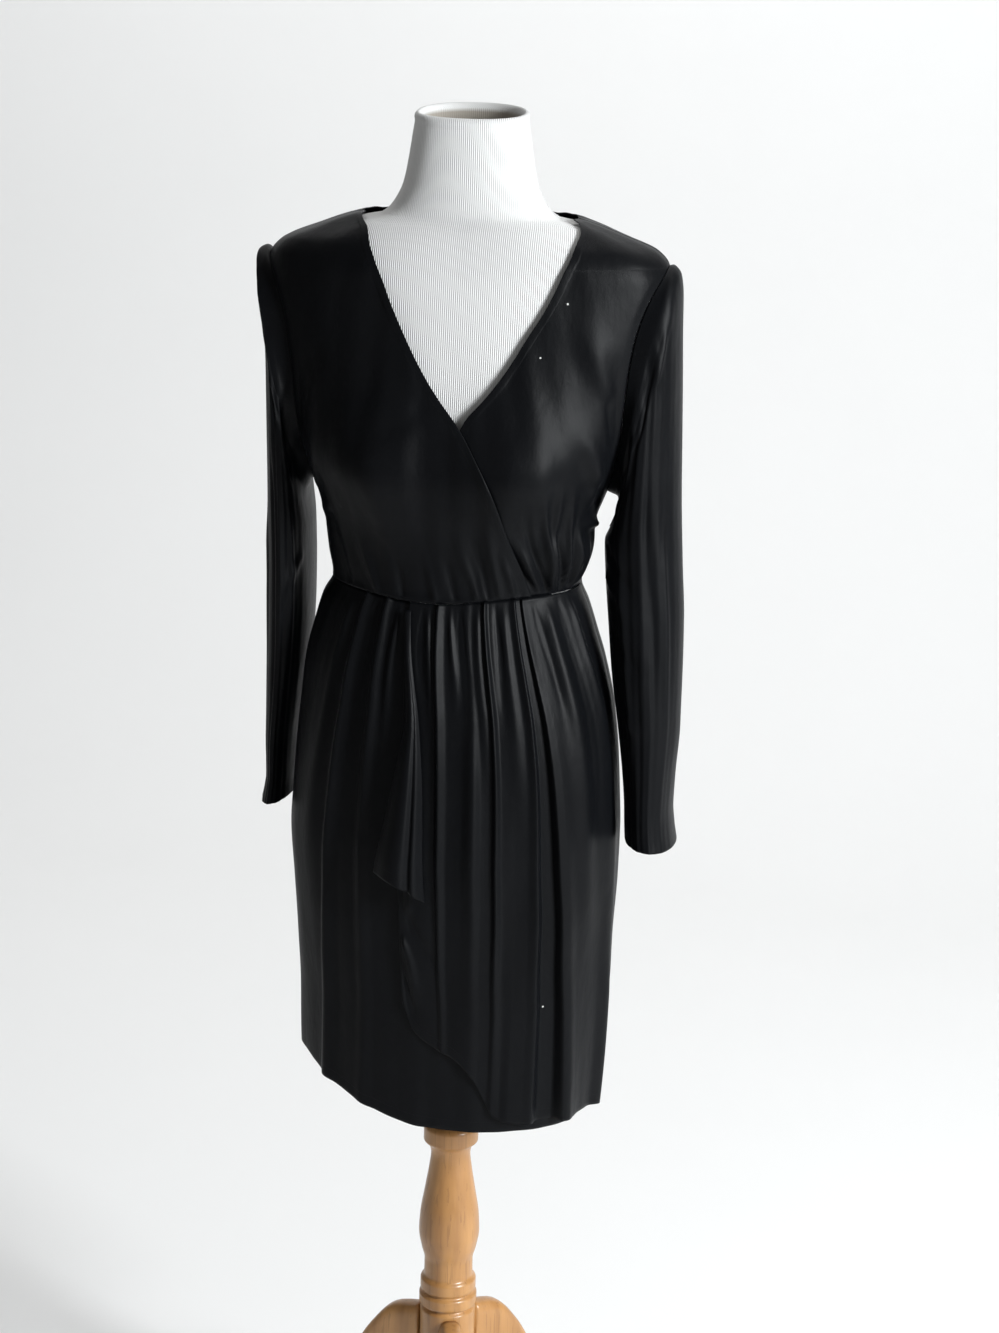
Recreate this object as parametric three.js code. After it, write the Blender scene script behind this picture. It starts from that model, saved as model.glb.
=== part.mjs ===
// Wrap dress with long sleeves on a limbless dress form, on a turned wooden stand with three legs.
// Millimetres, +Z up. The front faces -Y, the wearer's left is +X, the feet stand on z = 0.
// Angles run round the body in degrees: 0 wearer's left side, 90 front, 180 right side, 270 back.

import * as THREE from 'three';

// ---- Cloth and seams ----
const CLOTH_WALL = 1.6; // jersey, thick enough to stand as a wall
const SEAM_GAP = 0.35; // air where one piece is sewn to the next
const SEAM_ANGLE = 0.12; // the same air at a side or shoulder seam, in degrees
const LAP_LIFT = 3; // a lapping front stands this far off the body line
const WAIST = 1134; // waist seam at the sides
const WAIST_DIP = 10; // the waist seam hangs this much lower at the front
const NECK_TOP = 1510; // shoulder seam meets the neck edge
const BLOUSE = 5; // the left front puffs out this much above the waist seam

// ---- Armholes ----
const ARMHOLE_TOP = 1467;
const ARMHOLE_BOTTOM = 1232;
const ARMHOLE_FRONT = 17; // reach of the armhole to the front, in degrees
const ARMHOLE_BACK = 20; // reach to the back
const ARMHOLE_STEPS = 9; // rows between the underarm point and the shoulder point

// ---- Dress form ----
const FORM_EASE = 6; // the form is this much smaller all round than the dress
const FORM_BOTTOM = 790;
const NECK_RIM = 6; // wall of the open neck
const NECK_RECESS = 90; // depth of the open neck
const NECK_TILT = 0.13; // the neck opening rises to the back
const FORM_SIDES = 32;

// ---- Stand ----
const POST_SIDES = 24;
const HUB_RADIUS = 31;
const LEG_ANGLES = [75, 195, 315];

const table = (names, rows) =>
  rows.map((row) => Object.fromEntries(names.map((name, i) => [name, row[i]])));

// The dress round the body by height: half its width, its depth to the front and to the back, and
// how far its middle leans to the wearer's left.
const BODY = table(['z', 'half', 'front', 'back', 'lean'], [
  [540, 159, 128, 124, 0],
  [620, 163, 130, 127, 2],
  [680, 165.5, 132, 130, 2.5],
  [740, 169, 134, 133, 0.5],
  [800, 173, 136, 136, -0.5],
  [860, 175, 136, 137, -2],
  [900, 173, 135, 136, -1.5],
  [950, 170, 132, 132, -1],
  [1000, 165, 126, 125, -1.5],
  [1050, 157, 117, 114, -4.5],
  [1080, 149, 110, 106, -6],
  [1110, 140, 103, 96, -6.5],
  [1134, 130, 98, 90, -5],
  [1160, 135, 100, 90, -4],
  [1180, 138, 103, 92, -3.5],
  [1200, 141, 107, 95, -3],
  [1225, 149, 112, 98, -2],
  [1260, 163, 116, 103, -1],
  [1300, 177, 112, 107, 0],
  [1350, 190, 104, 108, 0],
  [1400, 200, 95, 105, 0],
  [1440, 206, 88, 101, 0],
  [1455, 207, 85, 99, 0],
  [1467, 205, 81, 96, 0],
  [1480, 194, 76, 92, 0],
  [1495, 158, 68, 87, 0],
  [1508, 120, 57, 81, 0],
  [1512, 101, 52, 78, 0],
]);
const BODY_ROUNDNESS = 2.25; // 2 is an ellipse, more is squarer
const BUST = { z: 1262, above: 62, below: 50, aside: 34, spread: 21, rise: 20 };

// Neck of the form above the dress.
const NECK = table(['z', 'half', 'front', 'back'], [
  [1509, 94, 49, 72],
  [1515, 85, 46, 67],
  [1525, 77, 44, 61],
  [1542, 69, 42, 57],
  [1566, 64, 41, 54],
  [1592, 60, 40, 52],
  [1611, 57, 39, 51],
]);

// Front edges: the angle each front reaches at a height.
const RIGHT_FRONT_EDGE = table(['z', 'angle'], [
  [1120, 39],
  [1143, 43],
  [1207, 60],
  [1272, 74],
  [1307, 83.5],
  [1336, 95.5],
  [1355, 103],
  [1393, 116],
  [1431, 127],
  [1451, 132],
  [1465, 136.5],
  [1477, 140.5],
  [1497, 149.5],
  [1504, 157],
  [1510, 167],
]);
const LEFT_FRONT_EDGE = table(['z', 'angle'], [
  [1120, 134],
  [1180, 124],
  [1230, 112],
  [1270, 100],
  [1307, 84],
  [1318, 81],
  [1338, 72],
  [1358, 64],
  [1378, 57],
  [1398, 51],
  [1418, 45],
  [1438, 40],
  [1457, 36],
  [1472, 32],
  [1486, 27.5],
  [1503, 16.5],
  [1510, 8],
]);

// Hem heights round the body for the three skirt panels.
const OVER_HEM = table(['angle', 'z'], [
  [0, 556],
  [33, 566],
  [50, 566],
  [58, 568],
  [63, 574],
  [66, 586],
  [73, 618],
  [80, 637],
  [90, 650],
  [100, 668],
  [105, 700],
]);
const UNDER_HEM = table(['angle', 'z'], [
  [30, 554],
  [60, 554],
  [95, 557],
  [120, 571],
  [140, 591],
  [160, 608],
  [180, 618],
]);
const BACK_HEM = table(['angle', 'z'], [
  [180, 618],
  [210, 598],
  [250, 577],
  [290, 566],
  [330, 560],
  [360, 556],
]);

// Folds across the lapping skirt panel: where each line leaves the waist and meets the hem, and
// how far it stands out at the waist, half way down and at the hem.
const OVER_FOLDS = table(['waist', 'hem', 'top', 'middle', 'foot'], [
  [SEAM_ANGLE, SEAM_ANGLE, 0, 0, 0],
  [7, 7, 2, 2, 3],
  [14, 12, 3, 5, 8],
  [22, 18, 3, 4, 4],
  [30, 25, 3, 5, 6],
  [38, 30, 3.5, 7, 10],
  [44, 33.5, 5, 10, 13],
  [46.5, 36, 6, 10, 12],
  [47.5, 38.5, 3, 3, 3.5],
  [49.2, 44, 3, 3, 3],
  [50.4, 48, 6, 8, 8],
  [53, 52, 3.5, 5, 7],
  [58, 57, 3, 3.5, 7],
  [63, 61, 3, 4, 5],
  [65.5, 64, 6.5, 7, 5],
  [67.2, 66.5, 3, 3, 3.5],
  [71, 70, 3, 4, 4],
  [75, 74, 4, 8, 5],
  [80, 79, 3, 4.5, 4],
  [86, 84, 3, 3, 3.5],
  [91, 87, 6.5, 6.5, 4.5],
  [93, 89.5, 3, 3, 3],
  [98, 95, 3, 3, 3],
  [103, 100, 3, 3, 3],
  [108, 105, 3, 3, 3.5],
]);
const UNDER_FOLDS = table(['waist', 'hem', 'top', 'middle', 'foot'], [
  [30, 30, 0, 0, 0],
  [42, 42, 0, 0, 0],
  [54, 54, 0, 0, 0],
  [66, 66, 0, 0, 0],
  [78, 78, 0, 0, 0],
  [90, 90, 0, 0, 0],
  [101, 101, 0, 0, 0],
  [110, 110, 0, 0, 0.5],
  [117, 118, 0, 0, 1],
  [121, 124, 3.5, 4, 3],
  [124, 129, 0, 0.5, 1],
  [129, 136, 0, 0.5, 2],
  [133, 143, 3.5, 6, 6],
  [136, 147, 0, 1, 3],
  [146, 154, 0, 2, 2],
  [158, 164, 0, 2, 5],
  [169, 172, 0, 1, 2],
  [180 - SEAM_ANGLE, 180 - SEAM_ANGLE, 0, 0, 0],
]);
const BACK_FOLDS = table(['waist', 'hem', 'top', 'middle', 'foot'], [
  [180 + SEAM_ANGLE, 180 + SEAM_ANGLE, 0, 0, 0],
  [191, 190, 0, 1, 2],
  [203, 201, 0, 3, 7],
  [215, 214, 0, 1, 2],
  [227, 226, 2, 3, 3],
  [239, 238, 0, 3, 8],
  [251, 251, 0, 1, 2],
  [264, 264, 2, 3, 4],
  [277, 277, 0, 2, 7],
  [290, 290, 2, 2, 2],
  [302, 303, 0, 3, 6],
  [314, 315, 0, 1, 2],
  [326, 328, 2, 3, 8],
  [338, 340, 0, 1, 3],
  [349, 350, 0, 1, 2],
  [360 - SEAM_ANGLE, 360 - SEAM_ANGLE, 0, 0, 0],
]);

// The loose edge of the lapping panel falls in a fold: its two sides and its swell, by height.
const CASCADE = table(['z', 'near', 'far', 'swell'], [
  [1116, 106, 109.5, 1],
  [1080, 104, 107.5, 2],
  [1040, 101, 105.5, 4],
  [1010, 99, 105, 7],
  [970, 97, 107, 11],
  [930, 95.5, 109.5, 15],
  [890, 94.5, 112, 19],
  [862, 94, 114, 22],
  [845, 93.6, 115, 23],
]);
const CASCADE_STEPS = 9;
const CASCADE_DROP = 28; // the near side of its hem hangs lower

// Sleeves: outer and inner edge of each section, half its depth and how far it sits back.
const LEFT_SLEEVE = table(['outer', 'outerZ', 'inner', 'innerZ', 'depth', 'back'], [
  [210, 1468, 162, 1226, 60, 2],
  [218, 1459.5, 163, 1219, 60, 2],
  [221, 1439, 162.5, 1211, 61, 2],
  [222, 1400, 160, 1204, 61, 2],
  [224, 1350, 156.5, 1197, 60, 1],
  [226, 1290, 153, 1190, 58, 0],
  [228, 1230, 150, 1180, 56, -1],
  [232, 1160, 152, 1148, 54, -3],
  [236, 1100, 157, 1096, 53, -5],
  [237, 1040, 163, 1038, 52, -7],
  [237, 985, 171, 985, 51, -8],
  [234, 932, 178, 932, 53, -8],
  [233, 898, 181, 900, 55, -8],
  [235, 875, 182, 878, 57, -8],
  [238, 857, 183, 862, 59, -8],
]);
const RIGHT_SLEEVE = table(['outer', 'outerZ', 'inner', 'innerZ', 'depth', 'back'], [
  [212, 1472, 163, 1228, 58, 2],
  [220.5, 1466, 166, 1222, 60, 2],
  [217, 1446, 168, 1216, 62, 2],
  [210, 1404, 168, 1209, 64, 2],
  [209, 1350, 167, 1200, 65, 4],
  [209, 1290, 166, 1190, 66, 8],
  [209, 1230, 165, 1178, 66, 12],
  [209, 1160, 165, 1148, 66, 16],
  [210, 1100, 166, 1098, 66, 20],
  [211, 1040, 170, 1040, 66, 25],
  [212, 985, 176, 985, 67, 28],
  [213, 938, 181, 938, 68, 30],
  [212, 908, 183, 908, 68, 30],
  [214, 890, 184, 891, 69, 30],
  [217, 876, 184, 877, 70, 30],
]);

// The turned post from the tip of the hub to the underside of the form.
const POST = table(['radius', 'z'], [
  [14, 168],
  [20, 180],
  [24, 194],
  [HUB_RADIUS, 204],
  [HUB_RADIUS, 280],
  [27, 284],
  [32.5, 288],
  [32.5, 299],
  [28, 302],
  [31.3, 306],
  [31.3, 317],
  [27.5, 322],
  [27.2, 341],
  [31, 357],
  [34, 376],
  [33, 396],
  [28.5, 425],
  [23.5, 456],
  [22, 470],
  [24, 480],
  [30.5, 487],
  [30.5, 501],
  [27, 507],
  [17, 511],
  [17, FORM_BOTTOM - SEAM_GAP],
]);

// A leg, from the hub to its foot: distance out, height of its middle, thickness and width.
const LEG = table(['out', 'z', 'tall', 'wide'], [
  [HUB_RADIUS + SEAM_GAP, 250, 54, 27],
  [52, 247, 52, 27],
  [77, 226, 44, 26],
  [104, 187, 36, 25],
  [131, 138, 31, 25],
  [161, 89, 29, 26],
  [198, 46, 28, 28],
  [236, 20, 27, 31],
  [262, 13, 26, 34],
  [284, 13, 26, 35],
  [304, 13, 26, 34],
]);
const LEG_SECTION = [
  [-0.3, -0.5], [0.3, -0.5], [0.46, -0.36], [0.5, 0], [0.44, 0.34], [0.24, 0.5],
  [-0.24, 0.5], [-0.44, 0.34], [-0.5, 0], [-0.46, -0.36],
];

const BODICE_LOW_ROWS = [WAIST + SEAM_GAP / 2, 1148, 1170, 1192, 1214];
const SHOULDER_ROWS = [1474, 1482, 1490, 1498, 1505, NECK_TOP];
const SKIRT_ROWS = [0, 0.04, 0.12, 0.22, 0.33, 0.45, 0.57, 0.69, 0.79, 0.87, 0.94, 1];

const toRadians = (degrees) => (degrees * Math.PI) / 180;
const mix = (a, b, share) => a + (b - a) * share;
const clamp01 = (value) => Math.min(Math.max(value, 0), 1);
const ease = (value) => clamp01(value) ** 2 * (3 - 2 * clamp01(value));
const count = (n) => Array.from({ length: n }, (_, i) => i);

// A smooth curve through one column of a table that never swings past its own rows.
function curve(rows, column, along) {
  const xs = rows.map((row) => row[along]);
  const ys = rows.map((row) => row[column]);
  const steps = count(xs.length - 1).map((i) => (ys[i + 1] - ys[i]) / (xs[i + 1] - xs[i]));
  const slopes = xs.map((_, i) => {
    const before = steps[Math.max(i - 1, 0)];
    const after = steps[Math.min(i, steps.length - 1)];
    return before * after <= 0 ? 0 : (2 * before * after) / (before + after);
  });
  return (position) => {
    const x = Math.min(Math.max(position, xs[0]), xs[xs.length - 1]);
    const i = Math.max(xs.findIndex((edge) => edge >= x) - 1, 0);
    const width = xs[i + 1] - xs[i];
    const t = (x - xs[i]) / width;
    return (
      (1 + 2 * t) * (1 - t) ** 2 * ys[i] + t * (1 - t) ** 2 * width * slopes[i] +
      t * t * (3 - 2 * t) * ys[i + 1] + t * t * (t - 1) * width * slopes[i + 1]
    );
  };
}

const bodyHalf = curve(BODY, 'half', 'z');
const bodyFront = curve(BODY, 'front', 'z');
const bodyBack = curve(BODY, 'back', 'z');
const bodyLean = curve(BODY, 'lean', 'z');

function ovalRadius(angle, half, front, back) {
  const across = Math.abs(Math.cos(toRadians(angle)));
  const along = Math.abs(Math.sin(toRadians(angle)));
  const depth = Math.sin(toRadians(angle)) > 0 ? front : back;
  const sum = (across / half) ** BODY_ROUNDNESS + (along / depth) ** BODY_ROUNDNESS;
  return sum ** (-1 / BODY_ROUNDNESS);
}

function bustRise(angle, z) {
  if (Math.sin(toRadians(angle)) <= 0) return 0;
  const up = (z - BUST.z) / (z > BUST.z ? BUST.above : BUST.below);
  return [90 - BUST.aside, 90 + BUST.aside].reduce((sum, middle) => {
    const across = (angle - middle) / BUST.spread;
    return sum + BUST.rise * Math.exp(-across * across - up * up);
  }, 0);
}

function bodyRadius(angle, z) {
  return ovalRadius(angle, bodyHalf(z), bodyFront(z), bodyBack(z)) + bustRise(angle, z);
}

function around(angle, radius, z) {
  return new THREE.Vector3(
    radius * Math.cos(toRadians(angle)), -radius * Math.sin(toRadians(angle)), z);
}

// A point on the body line, or `inset` inside it.
function bodyLine(angle, z, inset = 0) {
  const point = around(angle, bodyRadius(angle, z) - inset, z);
  return point.setX(point.x + bodyLean(z));
}

// A point of the dress: its place on the body line, moved straight out from it.
function onBody(angle, z, out) {
  const along = bodyLine(angle + 0.5, z).sub(bodyLine(angle - 0.5, z));
  const up = bodyLine(angle, z + 1).sub(bodyLine(angle, z - 1));
  return bodyLine(angle, z).addScaledVector(up.cross(along).normalize(), out);
}

const waistSeam = (angle) => -WAIST_DIP * Math.exp(-(((angle - 97) / 42) ** 2));

// A closed body of triangles with its faces turned outwards.
function solid(points, faces) {
  const volume = faces.reduce(
    (sum, [a, b, c]) => sum + points[a].dot(points[b].clone().cross(points[c])), 0);
  const order = volume > 0 ? faces : faces.map(([a, b, c]) => [a, c, b]);
  const geometry = new THREE.BufferGeometry().setFromPoints(points);
  geometry.setIndex(order.flat());
  geometry.computeVertexNormals();
  return geometry;
}

// A wall of cloth between an outer and an inner grid of points, closed along every edge.
function clothWall(outer, inner, closedRound = false) {
  const rows = outer.length;
  const columns = outer[0].length;
  const last = closedRound ? columns : columns - 1;
  const faces = [];
  const at = (skin, row, column) => (skin * rows + row) * columns + (column % columns);
  const quad = (a, b, c, d) => faces.push([a, b, c], [a, c, d]);
  for (const row of count(rows - 1)) {
    for (const column of count(last)) {
      quad(at(0, row, column), at(0, row, column + 1),
        at(0, row + 1, column + 1), at(0, row + 1, column));
      quad(at(1, row, column), at(1, row + 1, column),
        at(1, row + 1, column + 1), at(1, row, column + 1));
    }
    if (!closedRound) {
      quad(at(0, row, 0), at(0, row + 1, 0), at(1, row + 1, 0), at(1, row, 0));
      quad(at(0, row, last), at(1, row, last), at(1, row + 1, last), at(0, row + 1, last));
    }
  }
  for (const column of count(last)) {
    const top = rows - 1;
    quad(at(0, 0, column), at(1, 0, column), at(1, 0, column + 1), at(0, 0, column + 1));
    quad(at(0, top, column), at(0, top, column + 1), at(1, top, column + 1), at(1, top, column));
  }
  return solid([...outer.flat(), ...inner.flat()], faces);
}

// A closed body through a stack of rings, with a flat cap on each end.
function stack(rings) {
  const sides = rings[0].length;
  const middle = (ring) =>
    ring.reduce((sum, point) => sum.add(point), new THREE.Vector3()).divideScalar(sides);
  const points = [...rings.flat(), middle(rings[0]), middle(rings[rings.length - 1])];
  const at = (ring, side) => ring * sides + (side % sides);
  const faces = [];
  for (const side of count(sides)) {
    for (const ring of count(rings.length - 1)) {
      faces.push([at(ring, side), at(ring, side + 1), at(ring + 1, side + 1)]);
      faces.push([at(ring, side), at(ring + 1, side + 1), at(ring + 1, side)]);
    }
    faces.push([at(0, side + 1), at(0, side), points.length - 2]);
    faces.push([at(rings.length - 1, side), at(rings.length - 1, side + 1), points.length - 1]);
  }
  return solid(points, faces);
}

// ---- Bodice ----
const armholeAt = (phase) => mix(ARMHOLE_BOTTOM, ARMHOLE_TOP, (1 - Math.cos(phase)) / 2);
const armholeRows = count(ARMHOLE_STEPS + 1).map((i) => armholeAt((i * Math.PI) / ARMHOLE_STEPS));
const bodiceRows = [...BODICE_LOW_ROWS, ...armholeRows, ...SHOULDER_ROWS];

// How far a bodice piece stays back from the side line to leave room for the armhole.
function armholeReach(z, reach) {
  const share = (2 * (z - ARMHOLE_BOTTOM)) / (ARMHOLE_TOP - ARMHOLE_BOTTOM) - 1;
  return SEAM_ANGLE + reach * Math.sqrt(Math.max(1 - share * share, 0));
}

function bodicePiece(columns, from, to, lift) {
  const skin = (wall) => bodiceRows.map((row) => count(columns + 1).map((i) => {
    const angle = mix(from(row), to(row), i / columns);
    const z = row + waistSeam(angle) * (1 - ease((row - WAIST) / 60));
    return onBody(angle, z, lift(angle, z) + wall);
  }));
  return clothWall(skin(CLOTH_WALL), skin(0));
}

const rightFrontEdge = curve(RIGHT_FRONT_EDGE, 'angle', 'z');
const leftFrontEdge = curve(LEFT_FRONT_EDGE, 'angle', 'z');
const lapLift = (angle) => LAP_LIFT * ease((180 - angle) / 25);
const blouse = (angle, z) =>
  BLOUSE * ease((42 - angle) / 15) * ease(angle / 8) * Math.exp(-(((z - 1172) / 22) ** 2));

// ---- Skirt ----
function skirtPanel(folds, hem) {
  const skin = (wall) => SKIRT_ROWS.map((share) => folds.map((fold) => {
    const angle = mix(fold.hem, fold.waist, share);
    const top = WAIST - SEAM_GAP / 2 + waistSeam(angle);
    const swell = share < 0.5
      ? mix(fold.foot, fold.middle, ease(share * 2))
      : mix(fold.middle, fold.top, ease(share * 2 - 1));
    return onBody(angle, mix(hem(angle), top, share), swell + wall);
  }));
  return clothWall(skin(CLOTH_WALL), skin(0));
}

function cascadeFold() {
  const base = LAP_LIFT + CLOTH_WALL + 4 * SEAM_GAP;
  const skin = (wall) => CASCADE.map((row, i) => count(CASCADE_STEPS + 1).map((step) => {
    const share = step / CASCADE_STEPS;
    const drop = CASCADE_DROP * (1 - share) ** 2 * ease((i - 4) / (CASCADE.length - 5));
    const rise = row.swell * Math.sin(Math.PI * (0.08 + 0.84 * share)) ** 0.8;
    return onBody(mix(row.near, row.far, share), row.z - drop, base + rise + wall);
  }));
  return clothWall(skin(CLOTH_WALL), skin(0));
}

// ---- Sleeves ----
// The inner skin of a tube of cloth: every point of the outer skin moved in by the wall.
function innerSkin(outer) {
  const rows = outer.length;
  const sides = outer[0].length;
  return outer.map((ring, row) => {
    const middle = ring.reduce((sum, point) => sum.add(point), new THREE.Vector3())
      .divideScalar(sides);
    return ring.map((point, side) => {
      const up = outer[Math.max(row - 1, 0)][side].clone()
        .sub(outer[Math.min(row + 1, rows - 1)][side]);
      const along = ring[(side + 1) % sides].clone().sub(ring[(side + sides - 1) % sides]);
      const inward = up.cross(along).normalize();
      if (inward.dot(middle.clone().sub(point)) < 0) inward.negate();
      return point.clone().addScaledVector(inward, CLOTH_WALL);
    });
  });
}

function sleeve(sections, side) {
  const phases = count(2 * ARMHOLE_STEPS).map((i) => (i * Math.PI) / ARMHOLE_STEPS);
  const armhole = phases.map((phase) => {
    const reach = Math.sin(phase) > 0 ? ARMHOLE_FRONT : ARMHOLE_BACK;
    const turn = reach * Math.sin(phase);
    const angle = side > 0 ? turn : 180 - turn;
    return onBody(angle, armholeAt(phase), CLOTH_WALL + 4 * SEAM_GAP);
  });
  const rings = sections.map((row) => phases.map((phase) => {
    const share = (1 - Math.cos(phase)) / 2;
    return new THREE.Vector3(
      side * mix(row.inner, row.outer, share),
      row.back - row.depth * Math.sin(phase),
      mix(row.innerZ, row.outerZ, share));
  }));
  const outer = [armhole, ...rings];
  return clothWall(outer, innerSkin(outer), true);
}

// ---- Dress form ----
function formBody() {
  const angles = count(FORM_SIDES).map((i) => (i * 360) / FORM_SIDES);
  const heights = [FORM_BOTTOM, ...BODY.map((row) => row.z).filter(
    (z) => z > FORM_BOTTOM + 5 && z < 1505)];
  const torso = heights.map((z) => angles.map((angle) => bodyLine(angle, z, FORM_EASE)));
  const tilt = (point) => {
    const share = ease((point.z - NECK[0].z) / (NECK[NECK.length - 1].z - NECK[0].z));
    return point.setZ(point.z + NECK_TILT * point.y * share);
  };
  const ring = (row, inset, z) => angles.map((angle) => tilt(around(
    angle, ovalRadius(angle, row.half - inset, row.front - inset, row.back - inset), z)));
  const neck = NECK.map((row) => ring(row, 0, row.z));
  const rim = NECK[NECK.length - 1];
  const rimMiddle = ring(rim, NECK_RIM / 2, rim.z + 2);
  const recess = [0, 30, 60, NECK_RECESS].map((depth) => ring(rim, NECK_RIM, rim.z - depth));
  return stack([...torso, ...neck, rimMiddle, ...recess]);
}

// ---- Stand ----
function post() {
  return stack(POST.map((row) => count(POST_SIDES).map(
    (i) => around((i * 360) / POST_SIDES, row.radius, row.z))));
}

function leg(direction) {
  const outward = around(direction, 1, 0);
  const sideways = around(direction + 90, 1, 0);
  return stack(LEG.map((row, i) => {
    const before = LEG[Math.max(i - 1, 0)];
    const after = LEG[Math.min(i + 1, LEG.length - 1)];
    const slope = i === 0 || i > LEG.length - 4 ? 0
      : Math.atan2(after.z - before.z, after.out - before.out);
    return LEG_SECTION.map(([side, up]) => outward.clone()
      .multiplyScalar(row.out - row.tall * up * Math.sin(slope))
      .addScaledVector(sideways, row.wide * side)
      .setZ(row.z + row.tall * up * Math.cos(slope)));
  }));
}

// ---- Assembly ----
const group = new THREE.Group();

function add(name, geometry, color, roughness) {
  const material = new THREE.MeshStandardMaterial({ color, roughness, metalness: 0 });
  const mesh = new THREE.Mesh(geometry, material);
  mesh.name = name;
  group.add(mesh);
}

const addCloth = (name, geometry) => add(name, geometry, '#17181c', 0.62);
const addWood = (name, geometry) => add(name, geometry, '#b98a55', 0.4);
const frontSide = (z) => armholeReach(z, ARMHOLE_FRONT);
const backSide = (z) => armholeReach(z, ARMHOLE_BACK);

addCloth('bodice_front_right',
  bodicePiece(12, rightFrontEdge, (z) => 180 - frontSide(z), lapLift));
addCloth('bodice_front_left', bodicePiece(12, frontSide, leftFrontEdge, blouse));
addCloth('bodice_back',
  bodicePiece(18, (z) => 180 + backSide(z), (z) => 360 - backSide(z), () => 0));
addCloth('sleeve_right', sleeve(RIGHT_SLEEVE, -1));
addCloth('sleeve_left', sleeve(LEFT_SLEEVE, 1));
addCloth('skirt_front_over', skirtPanel(OVER_FOLDS, curve(OVER_HEM, 'z', 'angle')));
addCloth('skirt_front_under', skirtPanel(UNDER_FOLDS, curve(UNDER_HEM, 'z', 'angle')));
addCloth('skirt_back', skirtPanel(BACK_FOLDS, curve(BACK_HEM, 'z', 'angle')));
addCloth('skirt_cascade', cascadeFold());
add('form_body', formBody(), '#e9e7e1', 0.9);
addWood('stand_post', post());
LEG_ANGLES.forEach((direction, i) => addWood(`stand_leg_${i + 1}`, leg(direction)));

// Stand the whole object over the origin, by the middle of its box.
const middle = new THREE.Box3().setFromObject(group).getCenter(new THREE.Vector3());
group.children.forEach((mesh) => mesh.geometry.translate(-middle.x, -middle.y, 0));

export default group;
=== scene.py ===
"""A black jersey wrap dress on a knit-covered dress form with a turned oak stand.

Metres, +Z up. The front faces -Y and the wearer's left is +X. Tables of the cloth are in
millimetres round the upright line of the form. Angles run round the body in degrees: 0 is the
wearer's left side, 90 the front, 180 the right side, 270 the back.
"""

from math import cos, pi, radians, sin

import bpy
import numpy as np
from mathutils import Matrix, Vector


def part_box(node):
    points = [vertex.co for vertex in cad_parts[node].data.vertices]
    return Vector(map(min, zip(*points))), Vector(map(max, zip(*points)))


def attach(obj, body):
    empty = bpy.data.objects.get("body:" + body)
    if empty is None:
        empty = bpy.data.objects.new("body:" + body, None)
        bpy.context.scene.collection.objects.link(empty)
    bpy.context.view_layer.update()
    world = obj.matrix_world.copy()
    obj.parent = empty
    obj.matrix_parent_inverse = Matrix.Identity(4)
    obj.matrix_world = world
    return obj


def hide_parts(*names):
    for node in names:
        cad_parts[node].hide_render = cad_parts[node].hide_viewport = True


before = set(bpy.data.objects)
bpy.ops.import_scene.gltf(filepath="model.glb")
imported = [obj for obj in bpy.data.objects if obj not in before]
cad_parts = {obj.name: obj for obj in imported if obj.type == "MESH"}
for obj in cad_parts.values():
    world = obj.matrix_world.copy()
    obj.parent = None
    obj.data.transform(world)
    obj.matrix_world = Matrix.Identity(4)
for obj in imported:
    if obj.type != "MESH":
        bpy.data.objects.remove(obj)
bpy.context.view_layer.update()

MM = 0.001
FINE = 1.0

low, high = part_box("stand_post")
POST_AT = ((low[0] + high[0]) / 2, (low[1] + high[1]) / 2)

# ---- The dress and the form, as they were cut ----
CLOTH_WALL = 1.6
SEAM_ANGLE = 0.12
LAP_LIFT = 3.0
WAIST = 1134.0
WAIST_DIP = 10.0
NECK_TOP = 1510.0
ARMHOLE_TOP = 1467.0
ARMHOLE_BOTTOM = 1232.0
ARMHOLE_FRONT = 17.0
ARMHOLE_BACK = 20.0
FORM_EASE = 6.0
FORM_BOTTOM = 790.0
NECK_RIM = 6.0
NECK_RECESS = 90.0
NECK_TILT = 0.13
BODY_ROUNDNESS = 2.25
BUST_HEIGHT = 1262.0
BUST_ANGLES = (56.0, 124.0)
SKIN = 1.0  # the outer skin stands this far off the inner one
SLEEVE_SKIN = 1.1
TURNING = 8.2  # how far in the turned edge of a front reaches
TURNING_LIFT = 0.35  # how much it thickens the cloth
LEAST_DEPTH = 2.2  # no trough in the bodice sinks further than this
GATHER_PUFF = 7.0  # how far the left front puffs out over the waist seam
GATHER_HEIGHT, GATHER_REACH = 1174.0, 30.0
PLEAT_BASE, PLEAT_SWELL = 3.5, 0.55  # past the base a pleat stands out by this share more

# Height, half the width, depth to the front, depth to the back, lean to the wearer's left.
BODY = [
    (540, 159, 128, 124, 0),
    (620, 163, 130, 127, 2),
    (680, 165.5, 132, 130, 2.5),
    (740, 169, 134, 133, 0.5),
    (800, 173, 136, 136, -0.5),
    (860, 175, 136, 137, -2),
    (900, 173, 135, 136, -1.5),
    (950, 170, 132, 132, -1),
    (1000, 165, 126, 125, -1.5),
    (1050, 157, 117, 114, -4.5),
    (1080, 149, 110, 106, -6),
    (1110, 140, 103, 96, -6.5),
    (1134, 130, 98, 90, -5),
    (1160, 135, 100, 90, -4),
    (1180, 138, 103, 92, -3.5),
    (1200, 141, 107, 95, -3),
    (1225, 149, 112, 98, -2),
    (1260, 163, 116, 103, -1),
    (1300, 177, 112, 107, 0),
    (1350, 190, 104, 108, 0),
    (1400, 200, 95, 105, 0),
    (1440, 206, 88, 101, 0),
    (1455, 207, 85, 99, 0),
    (1467, 205, 81, 96, 0),
    (1480, 194, 76, 92, 0),
    (1495, 158, 68, 87, 0),
    (1508, 120, 57, 81, 0),
    (1512, 101, 52, 78, 0),
]
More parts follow.
